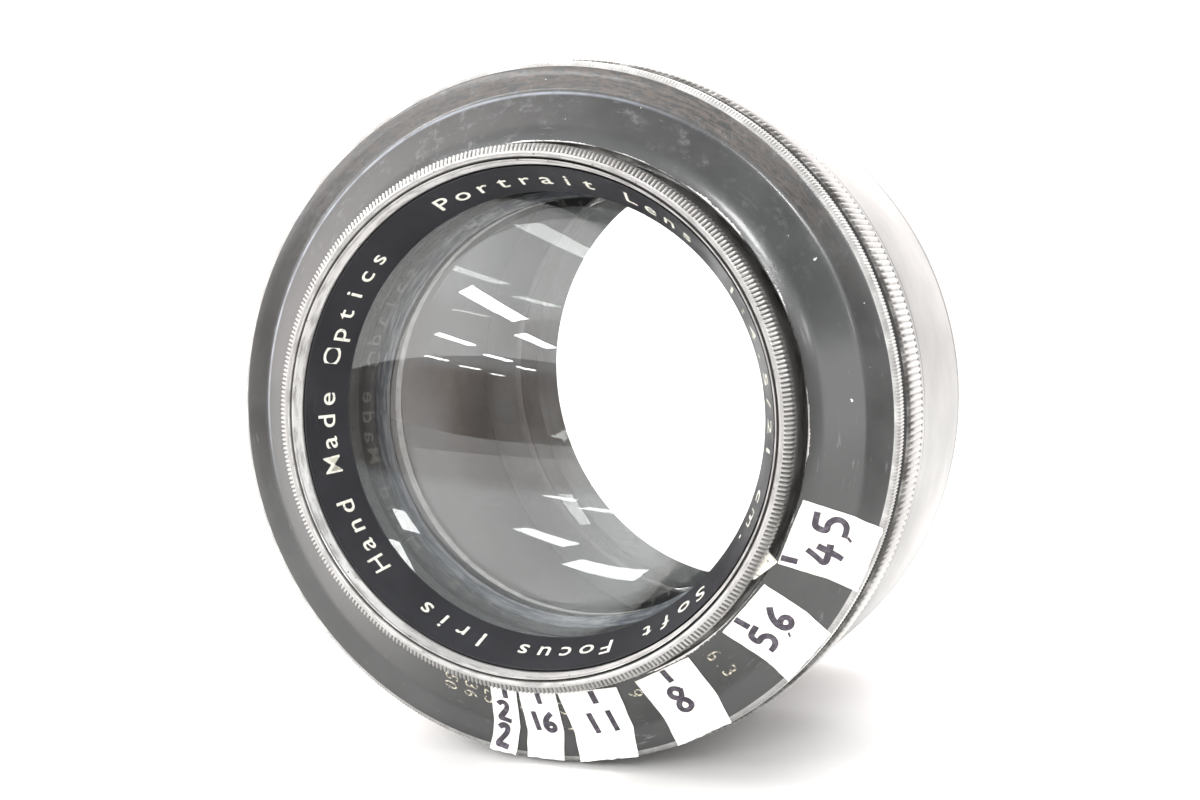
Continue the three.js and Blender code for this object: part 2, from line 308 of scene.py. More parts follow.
def make_lacquer(colours):
    f = Finish("black_lacquer")
    dust = f.noise(0.09, 5.0, 0.6)
    base = f.mix(f.between(dust, 0.35, 0.7), colours.lacquer, (0.03, 0.0315, 0.0315))
    # brown patina where the flat outer band was handled, partly a painted sheen: it is kept to the top, where
    # the light falls on the band
    height = f.math("DIVIDE", f.z, f.radius)
    handled_and_sheen = f.math("MULTIPLY", f.between(f.radius, 36.6, 37.6), f.between(height, 0.3, 1.0))
    drawn = f.math("MULTIPLY", f.rings(3.2, 0.16), 0.6)
    grain = f.math("ADD", drawn, f.math("MULTIPLY", f.noise(1.6, 6.0, 0.8), 0.4))
    handled_and_sheen = f.math("MULTIPLY", handled_and_sheen, f.between(grain, 0.44, 0.56))
    base = f.mix(f.math("MULTIPLY", handled_and_sheen, 0.85), base, colours.patina_and_sheen)
    # pale scuffs drawn out round the dial
    scuff = f.between(f.rings(1.6, 0.25), 0.6, 0.76)
    scuff = f.math("MULTIPLY", scuff, f.between(f.noise(0.16, 2.0), 0.45, 0.65))
    base = f.mix(f.math("MULTIPLY", scuff, 0.5), base, (0.2, 0.2, 0.2))
    # a painted highlight along the line where the cone meets the flat band, strongest at the upper left
    upper_left = f.math("DIVIDE", f.math("SUBTRACT", f.z, f.math("MULTIPLY", f.x, 0.8)), f.radius)
    crease_highlight = f.between(f.radius, 36.82, 36.95, 1.0, 0.0)
    crease_highlight = f.math("MULTIPLY", f.between(f.radius, 36.45, 36.75), crease_highlight)
    crease_highlight = f.math("MULTIPLY", crease_highlight, f.between(f.noise(0.3, 3.0), 0.3, 0.6, 0.5, 1.0))
    crease_highlight = f.math("MULTIPLY", crease_highlight, f.between(upper_left, 0.35, 1.1))
    base = f.mix(f.math("MULTIPLY", crease_highlight, 0.85), base, (0.3, 0.325, 0.37))
    # pale smudges on the cone, kept to its upper part: partly smudges, partly a painted sheen where the light
    # falls
    smudge_and_sheen = f.math("MULTIPLY", f.between(f.noise(0.55, 7.0, 0.75), 0.5, 0.72), f.between(height, 0.3, 0.9))
    smudge_and_sheen = f.math("MULTIPLY", smudge_and_sheen, f.between(f.noise(0.13, 2.0), 0.42, 0.58))
    base = f.mix(f.math("MULTIPLY", smudge_and_sheen, 0.4), base, (0.25, 0.258, 0.27))
    # bare metal along the edges, and small chips anywhere
    ragged = f.math("MULTIPLY", f.math("SUBTRACT", f.noise(3.2, 5.0, 0.7), 0.5), 1.5)
    long_wave = f.noise(0.12, 2.0)
    inner = f.between(f.radius, f.between(long_wave, 0.35, 0.65, 31.15, 31.75), 31.0)
    outer = f.between(f.radius, f.between(long_wave, 0.4, 0.7, 40.2, 39.75), 40.25)
    edge = f.between(f.math("ADD", f.math("MAXIMUM", inner, outer), ragged), 0.45, 0.55)
    chips = f.between(f.noise(0.95, 2.0, 0.4), 0.785, 0.8)
    specks = f.between(f.noise(2.6, 1.0, 0.3), 0.835, 0.85)
    bare = f.math("MAXIMUM", edge, f.math("MAXIMUM", chips, specks), clamp=True)
    base = f.mix(bare, base, (0.62, 0.615, 0.6))
    f.set(colour=base, metal=f.math("MULTIPLY", bare, 0.9), coat=0.6, coat_roughness=0.16)
    rough = f.between(dust, 0.3, 0.7, 0.27, 0.42)
    f.set(roughness=f.math("ADD", rough, f.math("MULTIPLY", handled_and_sheen, 0.2)))
    relief = f.math("ADD", f.math("MULTIPLY", f.noise(2.3, 4.0), 0.35), f.math("MULTIPLY", bare, -0.7))
    f.bump(relief, 0.03)
    return f.material


def make_plain_lacquer(colours):
    """Lacquer on the rear pieces, rubbed through in scattered spots."""
    f = Finish("rear_lacquer")
    dust = f.noise(0.12, 5.0, 0.6)
    base = f.mix(f.between(dust, 0.35, 0.7), colours.lacquer, (0.032, 0.033, 0.034))
    rubbed = f.between(f.noise(0.8, 5.0, 0.7), 0.66, 0.7)
    base = f.mix(f.math("MULTIPLY", rubbed, 0.7), base, (0.4, 0.32, 0.2))
    f.set(colour=base, metal=f.math("MULTIPLY", rubbed, 0.6), roughness=f.between(dust, 0.3, 0.7, 0.3, 0.44))
    f.bump(f.rings(5.0), 0.015)
    return f.material


def make_worn_nickel(colours):
    f = Finish("worn_nickel")
    stain = f.between(f.rings(1.1, 0.3), 0.4, 0.68)
    turned = f.rings(5.0)
    base = f.mix(f.between(turned, 0.3, 0.7), colours.nickel, (0.4, 0.397, 0.388))
    base = f.mix(f.math("MULTIPLY", stain, 0.6), base, (0.2, 0.195, 0.19))
    pits = f.between(f.noise(2.6, 2.0, 0.5), 0.7, 0.74)
    base = f.mix(pits, base, (0.05, 0.05, 0.052))
    f.set(colour=base, metal=0.9, roughness=f.between(stain, 0.0, 1.0, 0.34, 0.55))
    f.bump(f.math("ADD", f.math("MULTIPLY", turned, 0.6), f.math("MULTIPLY", pits, -1.0)), 0.02)
    return f.material


def make_knurl(colours, name, valley, crest, dark, bright=0.0, behind=None, bevel=None):
    """Knurled metal: dirt and painted shade darken the cuts from the valley radius to the crest radius.

    dark and bright are how far the dirt with its painted shade, and the rubbing, change the metal. The dirt
    and painted shade fade behind a given depth.
    bevel is the radius, depth and slope of a bevel that the teeth cut."""
    f = Finish(name)
    stain = f.between(f.noise(0.6, 5.0, 0.7), 0.4, 0.68)
    base = f.mix(f.math("MULTIPLY", stain, 0.45), colours.nickel, (0.3, 0.295, 0.28))
    radius = f.radius
    if bevel:
        start, depth, slope = bevel
        line = f.math("ADD", f.math("MULTIPLY", f.math("SUBTRACT", f.depth, depth), slope), start)
        radius = f.math("ADD", f.radius, f.math("SUBTRACT", crest, f.math("MINIMUM", line, crest)))
    # dirt in the cuts, and painted shade: the valleys are darker than the crests
    dirt_and_shade = f.between(radius, valley, crest, 1.0, 0.0)
    dirt_and_shade = f.math("MULTIPLY", dirt_and_shade, f.between(f.noise(0.35, 3.0), 0.3, 0.6, 0.55, 1.0))
    if bright:
        base = f.mix(bright, base, (0.8, 0.8, 0.79))
    # painted shade: the cuts are lighter behind that depth
    if behind:
        dirt_and_shade = f.math("MULTIPLY", dirt_and_shade, f.between(f.depth, behind, behind + 3.0, 1.0, 0.2))
    base = f.mix(f.math("MULTIPLY", dirt_and_shade, dark), base, (0.06, 0.057, 0.052))
    f.set(colour=base, metal=0.85, roughness=f.between(dirt_and_shade, 0.0, 1.0, 0.36, 0.6))
    f.bump(f.noise(4.0, 3.0), 0.02)
    return f.material


def make_satin(colours):
    f = Finish("satin_nickel")
    turned = f.rings(9.0, 0.02)
    haze = f.noise(0.05, 4.0, 0.6)
    base = f.mix(f.between(haze, 0.35, 0.7), colours.barrel, (0.32, 0.32, 0.317))
    spots = f.between(f.noise(0.9, 3.0), 0.73, 0.77)
    base = f.mix(f.math("MULTIPLY", spots, 0.5), base, (0.34, 0.33, 0.32))
    f.shader.inputs["Specular Tint"].default_value = (0.85, 0.85, 0.85, 1.0)
    f.set(colour=base, metal=0.8, roughness=f.between(haze, 0.3, 0.7, 0.36, 0.46))
    f.bump(turned, 0.012)
    return f.material


def make_matt(colours):
    f = Finish("satin_black")
    turned = f.rings(7.0, 0.03)
    dust = f.noise(0.15, 3.0, 0.5)
    base = f.mix(f.between(dust, 0.3, 0.8), colours.matt, (0.031, 0.0315, 0.036))
    f.set(colour=base, metal=0.0, roughness=f.between(dust, 0.3, 0.7, 0.28, 0.38), specular=0.25)
    f.bump(turned, 0.006)
    return f.material


def make_inner_black(colours):
    f = Finish("matt_black_inside")
    dust = f.noise(0.5, 5.0, 0.65)
    base = f.mix(f.between(dust, 0.45, 0.75), (0.012, 0.012, 0.013), (0.035, 0.035, 0.035))
    f.set(colour=base, roughness=f.between(dust, 0.3, 0.7, 0.55, 0.7))
    f.bump(f.noise(1.2), 0.004)
    return f.material


def make_plates(colours):
    """Blackened brass plates round the iris, bare along the edge of their bore."""
    f = Finish("blackened_plates")
    dust = f.noise(0.5, 5.0, 0.65)
    base = f.mix(f.between(dust, 0.45, 0.75), (0.016, 0.016, 0.017), (0.04, 0.04, 0.04))
    bare = f.between(f.math("ADD", f.radius, f.math("MULTIPLY", f.noise(1.2), 0.2)), 23.2, 23.34, 1.0, 0.0)
    base = f.mix(bare, base, (0.27, 0.265, 0.26))
    f.set(colour=base, metal=f.math("MULTIPLY", bare, 0.8), roughness=f.between(dust, 0.3, 0.7, 0.45, 0.6))
    f.bump(f.rings(2.0, 0.01), 0.004)
    return f.material


def make_letters(colours):
    f = Finish("letter_filling")
    worn = f.between(f.noise(1.6, 4.0, 0.7), 0.5, 0.68)
    base = f.mix(f.math("MULTIPLY", worn, 0.6), colours.letters, (0.3, 0.29, 0.25))
    f.set(colour=base, roughness=0.6)
    f.bump(f.noise(6.0, 2.0), 0.02)
    return f.material


def make_scale_paint(colours):
    """The dial's old scale, worn down to traces."""
    f = Finish("worn_scale_paint")
    worn = f.between(f.noise(2.2, 4.0, 0.7), 0.4, 0.56)
    base = f.mix(worn, (0.62, 0.58, 0.46), (0.06, 0.057, 0.05))
    f.set(colour=base, roughness=0.55)
    f.bump(f.noise(6.0, 2.0), 0.02)
    return f.material


def make_pointer_paint(colours):
    f = Finish("pointer_paint")
    worn = f.between(f.noise(1.9, 4.0, 0.7), 0.58, 0.66)
    base = f.mix(worn, (0.84, 0.82, 0.74), (0.33, 0.31, 0.27))
    f.set(colour=base, roughness=0.5)
    f.bump(worn, -0.03)
    return f.material


def make_paper(colours):
    f = Finish("paper_tape")
    fibre = f.noise(3.4, 6.0, 0.75)
    cloudy = f.noise(0.35, 3.0)
    base = f.mix(f.between(cloudy, 0.4, 0.75), colours.paper, (0.8, 0.78, 0.71))
    grubby = f.between(f.noise(1.3, 5.0, 0.7), 0.62, 0.8)
    base = f.mix(f.math("MULTIPLY", grubby, 0.35), base, (0.45, 0.42, 0.4))
    f.set(colour=base, roughness=0.85, specular=0.3)
    f.bump(fibre, 0.05)
    return f.material


def make_ink(colours):
    f = Finish("marker_ink")
    streak = f.noise(1.5, 5.0, 0.7)
    base = f.mix(f.between(streak, 0.42, 0.72), colours.ink, (0.11, 0.095, 0.12))
    f.set(colour=base, roughness=0.55)
    f.bump(f.noise(3.4, 4.0), 0.02)
    return f.material


def make_brass(colours):
    f = Finish("inner_brass")
    tarnish = f.between(f.noise(0.4, 5.0, 0.65), 0.4, 0.7)
    base = f.mix(tarnish, colours.brass, (0.3, 0.19, 0.08))
    f.set(colour=base, metal=1.0, roughness=f.between(tarnish, 0.0, 1.0, 0.3, 0.5))
    f.bump(f.rings(8.0), 0.01)
    return f.material


def make_steel(colours):
    f = Finish("blued_steel")
    rubbed = f.rings(3.0, 0.12)
    base = f.mix(f.between(rubbed, 0.4, 0.7), colours.steel, (0.24, 0.245, 0.26))
    f.set(colour=base, metal=0.8, roughness=f.between(rubbed, 0.3, 0.7, 0.38, 0.5))
    f.bump(rubbed, 0.01)
    return f.material


def make_glass(name, tint, ior):
    """Clear glass. Rays towards the lamps pass straight through, so that the inside is lit."""
    f = Finish(name)
    smear = f.noise(0.12, 4.0, 0.6)
    smeared = [c * 0.985 for c in tint]
    colour = f.mix(f.between(smear, 0.4, 0.7), tint, smeared)
    f.set(colour=colour, roughness=0.0, transmission=1.0, ior=ior, specular=0.5)
    clear = f.node("ShaderNodeBsdfTransparent")
    clear.inputs["Color"].default_value = (0.93, 0.94, 0.93, 1.0)
    path = f.node("ShaderNodeLightPath")
    either = f.node("ShaderNodeMixShader")
    f.link(path.outputs["Is Shadow Ray"], either.inputs[0])
    f.link(f.shader.outputs[0], either.inputs[1])
    f.link(clear.outputs[0], either.inputs[2])
    f.link(either.outputs[0], f.output.inputs["Surface"])
    return f.material


def make_floor(colours):
    f = Finish("pale_floor")
    grain = f.noise(0.02, 4.0)
    f.set(colour=f.mix(grain, (0.88, 0.88, 0.875), (0.85, 0.85, 0.845)), roughness=0.9)
    return f.material


MAKERS = {
    "lacquer": make_lacquer,
    "lacquer_plain": make_plain_lacquer,
    "nickel": make_worn_nickel,
    "rim_knurl": lambda c: make_knurl(c, "rim_knurl", 40.34, 40.46, 0.5, bright=0.6),
    "clamp_knurl": lambda c: make_knurl(c, "clamp_knurl", 40.74, 40.98, 0.95, behind=4.6),
    "ring_knurl": lambda c: make_knurl(c, "ring_knurl", 30.4, 30.7, 0.85, bevel=(29.8, -8.78, 1.3)),
    "satin": make_satin,
    "matt": make_matt,
    "inside": make_inner_black,
    "plates": make_plates,
    "letters": make_letters,
    "scale_paint": make_scale_paint,
    "pointer_paint": make_pointer_paint,
    "paper": make_paper,
    "ink": make_ink,
    "brass": make_brass,
    "steel": make_steel,
    "front_glass": lambda c: make_glass("crown_glass", (0.975, 0.985, 0.98), 1.54),
    "rear_glass": lambda c: make_glass("crown_glass_rear", (0.975, 0.985, 0.98), 1.54),
    "floor": make_floor,
}


# ---- shape helpers ----
def polar(radius, angle, depth=0.0):
    """A point by its radius and dial angle, clockwise from +X seen from the front."""
    a = math.radians(angle)
    return Vector((radius * math.cos(a), depth, -radius * math.sin(a)))


def eased(profile, size=0.12):
    """A closed profile with each sharp corner taken off by a small round of that size."""
    points = [Vector(p) for p in profile]
    smooth = []
    for i, p in enumerate(points):
        before, after = points[i - 1] - p, points[(i + 1) % len(points)] - p
        bend = math.pi - before.angle(after)
        if bend < math.radians(18) or size <= 0:
            smooth.append(p)
            continue
        a = p + before.normalized() * min(size, before.length * 0.4)
        b = p + after.normalized() * min(size, after.length * 0.4)
        smooth += [a, (a + b) / 4 + p / 2, b]
    return smooth


def turned(profile, steps, closed=True):
    """A bmesh of a profile of (radius, depth) points spun about the axis."""
    bm = bmesh.new()
    verts = [bm.verts.new((r, y, 0)) for r, y in profile]
    pairs = list(zip(verts, verts[1:])) + ([(verts[-1], verts[0])] if closed else [])
    edges = [bm.edges.new(pair) for pair in pairs]
    # one sector is spun step by step, and then the whole sector is spun as copies, which is far quicker
    copies = next(n for n in range(int(math.sqrt(steps)), 0, -1) if steps % n == 0)
    about = {"cent": (0, 0, 0), "axis": (0, 1, 0)}
    bmesh.ops.spin(bm, geom=verts + edges, angle=math.tau / copies, steps=steps // copies, **about)
    sector = bm.verts[:] + bm.edges[:] + bm.faces[:]
    last = math.tau * (copies - 1) / copies
    bmesh.ops.spin(bm, geom=sector, angle=last, steps=copies - 1, use_duplicate=True, **about)
    bmesh.ops.remove_doubles(bm, verts=bm.verts, dist=0.0005)
    bmesh.ops.recalc_face_normals(bm, faces=bm.faces)
    return bm


def knurl(bm, teeth, cut, where):
    """Cuts teeth into the vertices that where(radius, depth) picks: four columns to a tooth."""
    shape = (1.0, 0.45, 0.0, 0.45)
    for v in bm.verts:
        r = math.hypot(v.co.x, v.co.z)
        if where(r, v.co.y):
            column = round(math.atan2(-v.co.z, v.co.x) / math.tau * teeth * 4) % 4
            scale = (r - cut * shape[column]) / r
            v.co.x *= scale
            v.co.z *= scale


def finished(bm, name, body, *materials, slot, replaces=(), sharp=32, second=None):
    """Puts the bmesh in place as a named piece that rides on a body, with edges sharp above so many degrees.

    second(radius, depth) is true where a face takes the second material."""
    if second:
        for face in bm.faces:
            face.material_index = int(second(*centre(face)))
    bmesh.ops.transform(bm, matrix=TO_PLACE, verts=bm.verts)
    mesh = bpy.data.meshes.new(name)
    bm.to_mesh(mesh)
    bm.free()
    for key in materials:
        mesh.materials.append(finish(key))
    mesh.shade_smooth()
    mesh.set_sharp_from_angle(angle=math.radians(sharp))
    piece = bpy.data.objects.new(name, mesh)
    bpy.context.scene.collection.objects.link(piece)
    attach(piece, body)
    if replaces:
        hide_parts(*replaces)


def joined(bms):
    """One bmesh that holds them all."""
    whole = bmesh.new()
    for bm in bms:
        part = bpy.data.meshes.new("part")
        bm.to_mesh(part)
        bm.free()
        whole.from_mesh(part)
        bpy.data.meshes.remove(part)
    return whole


def mirrored(profile):
    return [(r, 2 * MIDDLE - y) for r, y in profile]


def centre(face):
    """The radius and the depth of a face's middle."""
    c = face.calc_center_median()
    return math.hypot(c.x, c.z), c.y


def mesh_of(curve):
    """The mesh that a curve makes. The curve is then deleted."""
    holder = bpy.data.objects.new("curve", curve)
    bpy.context.scene.collection.objects.link(holder)
    bpy.context.view_layer.update()
    shape = bpy.data.meshes.new_from_object(holder.evaluated_get(bpy.context.evaluated_depsgraph_get()))
    bpy.data.objects.remove(holder)
    bpy.data.curves.remove(curve)
    return shape


def letters(text, size, swell, matrix_of):
    """A bmesh of letters. matrix_of(i) places letter i's own plane, centred on its width."""
    whole = bmesh.new()
    for i, letter in enumerate(text):
        if letter == " ":
            continue
        curve = bpy.data.curves.new("letter", "FONT")
        curve.body = letter
        curve.size = size
        curve.extrude = 0.02
        curve.offset = swell
        curve.resolution_u = 4
        curve.align_x = "CENTER"
        shape = mesh_of(curve)
        shape.transform(matrix_of(i))
        whole.from_mesh(shape)
        bpy.data.meshes.remove(shape)
    bmesh.ops.remove_doubles(whole, verts=whole.verts, dist=0.0005)
    bmesh.ops.recalc_face_normals(whole, faces=whole.faces)
    return whole


def seated(origin, right, up, lift=0.0):
    """The place of a plane by its origin, its right and its up, lifted along its normal."""
    right, up = right.normalized(), up.normalized()
    out = right.cross(up)
    return Matrix.Translation(origin + out * lift) @ Matrix((right, up, out)).transposed().to_4x4()


# ---- the dial's surface ----
def dial_depth(r):
    (r0, y0), (r1, y1) = CONE_INNER, CONE_OUTER
    if r < r1:
        return y0 + (r - r0) * (y1 - y0) / (r1 - r0)
    return y1 + (r - r1) * (0 - y1) / (40.0 - r1)


def on_dial(u, v, lift, angle):
    """A point of the dial: u out from the axis and v along the turn at that angle, lifted off the surface."""
    r = math.hypot(u, v)
    slope = math.atan2(dial_depth(r + 0.4) - dial_depth(r - 0.4), 0.8)
    p = polar(r + lift * math.sin(slope), angle + math.degrees(math.atan2(v, u)), dial_depth(r))
    p.y -= lift * math.cos(slope)
    return p


def on_cone(radius, angle, lift=0.0, aside=0.0):
    """A plane on the dial's cone that reads outwards, set aside by some degrees along the turn."""
    outwards = polar(1, angle) + Vector((0, CONE_RISE, 0))
    spot = polar(radius, angle + aside, dial_depth(radius))
    return seated(spot, outwards, -polar(1, angle + 90), lift)


class Piece(bpy.types.Operator):
    """One piece of the lens, or a group of like pieces"""

    bl_options = {"REGISTER", "UNDO"}

    def execute(self, context):
        self.build(context.scene.lens_sizes)
        return {"FINISHED"}


class LENS_OT_aperture_dial(Piece):
    """Builds the lacquered aperture dial, with its knurled rim and the old engraved scale"""

    bl_idname = "lens.aperture_dial"
    bl_label = "Aperture Dial"

    def build(self, sizes):
        face = [
            (31.0, -3.25), (31.12, -3.42), CONE_INNER, (33.2, -2.28), (35.2, -1.08), (36.3, -0.42),
            (36.7, -0.2), (36.95, -0.1), (37.3, -0.08), (38.6, -0.04), (39.6, -0.01), (39.78, 0.03),
        ]
        rim = [(40.2, 0.25), (40.46, 0.55), (40.46, 1.3), (40.46, 2.2), (40.32, 2.34), (39.7, 2.72)]
        profile = face + rim + [(38.0, 2.72), (31.15, 2.72), (31.0, 2.6)]
        bm = turned(profile, sizes.rim_teeth * 4)
        knurl(bm, sizes.rim_teeth, sizes.rim_cut, lambda r, y: r > 40.15)
        finished(
            bm, "aperture_dial_face", "barrel", "lacquer", "rim_knurl", replaces=["aperture_dial"],
            slot="black_lacquer", sharp=40, second=lambda r, y: r > 39.85 and y < 2.4,
        )
        marks = [self.number(sizes, text, angle) for text, angle in SCALE.items()]
        marks += [self.tick(angle) for angle in SCALE_TICKS]
        finished(joined(marks), "dial_old_scale", "barrel", "scale_paint", slot="white_paint", sharp=30)

    def number(self, sizes, text, angle):
        pitch = sizes.digit_height * 0.66

        def place(i):
            return on_cone(NUMBER_START + (i + 0.5) * pitch, angle, lift=-0.005, aside=0.9)

        return letters(text, sizes.digit_height * 1.35, -0.006, place)

    def tick(self, angle):
        bm = bmesh.new()
        bmesh.ops.create_cube(bm, size=1.0)
        bmesh.ops.scale(bm, vec=TICK_SIZE, verts=bm.verts)
        bmesh.ops.transform(bm, matrix=on_cone(TICK_RADIUS, angle), verts=bm.verts)
        return bm


class LENS_OT_clamp_ring(Piece):
    """Builds the coarse knurled clamp ring behind the dial"""

    bl_idname = "lens.clamp_ring"
    bl_label = "Clamp Ring"

    def build(self, sizes):
        profile = [
            (39.5, CLAMP_FRONT), (40.1, CLAMP_FRONT), (40.5, 3.4), (40.82, 3.75), (40.98, 4.1), (40.98, 7.25),
            (40.98, 10.8), (40.86, 11.05), (40.66, 11.3), (40.45, 11.4), (39.5, 11.4),
        ]
        bm = turned(profile, sizes.clamp_teeth * 4)
        knurl(bm, sizes.clamp_teeth, sizes.clamp_cut, lambda r, y: r > 40.8)
        finished(
            bm, "clamp_ring_knurled", "barrel", "clamp_knurl", "inside", replaces=["clamp_ring"],
            slot="worn_nickel", sharp=50, second=lambda r, y: y < 3.4,
        )


class LENS_OT_barrel(Piece):
    """Builds the satin barrel"""

    bl_idname = "lens.barrel"
    bl_label = "Barrel"

    def build(self, sizes):
        profile = [
            (38.4, 3.4), (39.3, 3.4), (39.3, 11.7), (40.7, 11.7), (40.78, 11.85), (40.78, 12.6),
            (40.68, 12.7), (40.68, 12.95), (40.78, 13.05), (40.78, 35.6), (40.68, 35.7), (40.68, 35.95),
            (40.78, 36.05), (40.78, 36.9), (40.5, 37.3), (31.8, 37.3), (31.8, 34.3), (37.0, 34.3),
            (37.0, 16.9), (38.4, 16.9),
        ]
        finished(
            turned(eased(profile, 0.06), 256), "barrel_body", "barrel", "satin", "inside",
            replaces=["barrel_shell"], slot="satin_nickel", second=lambda r, y: r < 40.0 and y < 37.0,
        )


class LENS_OT_setting_ring(Piece):
    """Builds the iris setting ring and its painted pointer"""

    bl_idname = "lens.setting_ring"
    bl_label = "Setting Ring"

    def build(self, sizes):
        profile = [
            (29.15, -8.5), (29.28, -8.72), (29.4, -8.78), (29.7, -8.78), (29.82, -8.76), (30.0, -8.64),
            (30.35, -8.36), (30.64, -8.14), (30.72, -8.0), (30.72, -7.3), (30.72, -6.66), (30.6, -6.5),
            (30.1, -6.12), (30.0, -6.0), (30.0, 3.05), (33.0, 3.05), (33.0, 7.4), (29.15, 7.4),
        ]
        bm = turned(profile, sizes.ring_teeth * 4)
        knurl(bm, sizes.ring_teeth, sizes.ring_cut, lambda r, y: y < -6.4 and r > 29.95)
        finished(
            bm, "iris_setting_ring", "setting", "nickel", "ring_knurl", replaces=["setting_ring"],
            slot="worn_nickel", sharp=50, second=lambda r, y: r > 29.88 and y < -6.2,
        )
        bm = bmesh.new()
        corners = ((30.15, -1.2), (31.9, 0.0), (30.75, 5.4), (30.15, 5.4))
        front = [bm.verts.new(polar(r, INDEX_ANGLE + turn, POINTER_FRONT)) for r, turn in corners]
        grown = bmesh.ops.extrude_face_region(bm, geom=[bm.faces.new(front)])["geom"]
        rear = [v for v in grown if isinstance(v, bmesh.types.BMVert)]
        bmesh.ops.translate(bm, vec=(0, POINTER_THICKNESS, 0), verts=rear)
        bmesh.ops.recalc_face_normals(bm, faces=bm.faces)
        bmesh.ops.bevel(
            bm, geom=bm.edges[:], offset=0.09, affect="EDGES", segments=2, profile=0.5, material=-1
        )
        finished(
            bm, "index_arrow", "setting", "pointer_paint", replaces=["index_pointer"], slot="white_paint"
        )


class LENS_OT_front_cell(Piece):
    """Builds the front cell, whose bright lip has a fine thread inside it"""

    bl_idname = "lens.front_cell"
    bl_label = "Front Cell"

    def build(self, sizes):
        thread = []
        turns = 6
        for i in range(turns):
            y = -8.45 + i * (1.55 / turns)
            thread += [(28.72 - 0.05 * i, y), (28.86 - 0.05 * i, y + 0.13)]
        profile = [(28.42, -0.45), (28.42, -6.8)] + thread[::-1] + [
            (28.84, -8.62), (28.93, -8.65), (28.98, -8.55), (28.98, 7.7), (27.2, 7.7), (27.2, 10.0),
            (25.3, 10.0), (25.3, 8.4), (26.85, 8.4), (26.85, -0.45),
        ]
        finished(
            turned(profile, 256), "front_cell_mount", "barrel", "nickel", "inside", replaces=["front_cell"],
            slot="worn_nickel", sharp=60, second=lambda r, y: y > -6.0 and r < 28.8,
        )


class LENS_OT_name_ring(Piece):
    """Builds the name ring and the letters engraved round it"""

    bl_idname = "lens.name_ring"
    bl_label = "Name Ring"

    def build(self, sizes):
        profile = [NAME_INNER, (28.1, -6.52), (28.16, -6.78), NAME_OUTER, (28.25, -0.75), (25.65, -0.75)]
        finished(
            turned(eased(profile, 0.05), 256), "name_ring_cone", "barrel", "matt", replaces=["name_ring"],
            slot="matt_black",
        )
        (r0, y0), (r1, y1) = NAME_INNER, NAME_OUTER
        slant = math.hypot(r1 - r0, y1 - y0)
        text = sizes.lettering
        pitch = 360 / len(text)
        base = 0.5 - sizes.letter_height / 2 / slant

        def place(i):
            angle = sizes.lettering_start + i * pitch
            out = polar((r1 - r0) / slant, angle, (y1 - y0) / slant)
            spot = polar(r0 + (r1 - r0) * base, angle, y0 + (y1 - y0) * base)
            return seated(spot, polar(1, angle + 90), out)

        words = letters(text, sizes.letter_height * 1.42, 0.02, place)
        finished(words, "name_ring_letters", "barrel", "letters", slot="white_paint", sharp=30)


def glass_surface(vertex, curve):
    """Points of a ground surface from the axis to the edge. A positive curve bulges to the front."""
    steps = 20
    radii = [i / steps * GLASS_RADIUS for i in range(steps + 1)]
    return [(r, vertex + curve - math.copysign(math.sqrt(curve**2 - r**2), curve)) for r in radii]


def glass_pair(gap=0.0):
    """Profiles of a crown and a flint with a thin gap between them, or of both as one."""
    outer, inner = glass_surface(*OUTER_SURFACE), glass_surface(*INNER_SURFACE)
    if not gap:
        return [outer + inner[::-1]]
    depth, curve = BETWEEN_SURFACE
    return [outer + glass_surface(depth, curve)[::-1], glass_surface(depth + gap, curve) + inner[::-1]]


class LENS_OT_glasses(Piece):
    """Builds the two glass groups, the front one with a thin gap inside"""

    bl_idname = "lens.glasses"
    bl_label = "Glasses"

    def build(self, sizes):
        rear = [mirrored(profile) for profile in glass_pair()]
        for name, profiles, nodes, slot in (
            ("front_glass", glass_pair(gap=0.06), ["front_crown", "front_flint"], "crown_glass"),
            ("rear_glass", rear, ["rear_crown", "rear_flint"], "flint_glass"),
        ):
            shells = [turned(profile, 128, closed=False) for profile in profiles]
            finished(joined(shells), name, "barrel", name, replaces=nodes, slot=slot, sharp=40)


class LENS_OT_rear(Piece):
    """Builds the threaded rear tube, the rear cell and the ring that holds its glass"""

    bl_idname = "lens.rear"
    bl_label = "Rear Tube and Cell"

    def build(self, sizes):
        thread = []
        for i in range(12):
            y = 37.6 + i * 0.75
            thread += [(31.5, y), (31.5, y + 0.2), (31.18, y + 0.375), (31.5, y + 0.55)]
        profile = [(28.95, 31.0), (34.8, 31.0), (34.8, 34.0), (31.5, 34.0)] + thread + [
            (31.5, 59.2), (31.2, 59.5), (28.95, 59.5)]
        finished(
            turned(profile, 256), "rear_tube_threaded", "barrel", "lacquer_plain", "inside",
            replaces=["rear_tube"], slot="black_lacquer", second=lambda r, y: r < 29.0,
        )
        cell = [
            (25.3, 8.4), (26.85, 8.4), (26.85, -0.45), (28.42, -0.45), (28.42, -6.8), (28.85, -8.5),
            (28.95, -8.65), (31.1, -8.65), (31.5, -8.3), (31.5, -7.0), (31.3, -6.8), (31.3, -6.6),
            (31.5, -6.4), (31.5, 3.2), (28.7, 3.2), (28.7, 10.0), (25.3, 10.0),
        ]
        finished(
            turned(eased(mirrored(cell), 0.06), 256), "rear_cell_mount", "barrel", "lacquer_plain", "inside",
            replaces=["rear_cell"], slot="black_lacquer", second=lambda r, y: r < 28.9 or y < 59.0,
        )
        ring = [(24.6, -1.5), (28.25, -6.85), (28.25, -0.75), (25.7, -0.75), (24.6, -1.3)]
        finished(
            turned(eased(mirrored(ring), 0.05), 256), "rear_ring_cone", "barrel", "matt",
            replaces=["rear_ring"], slot="matt_black",
        )


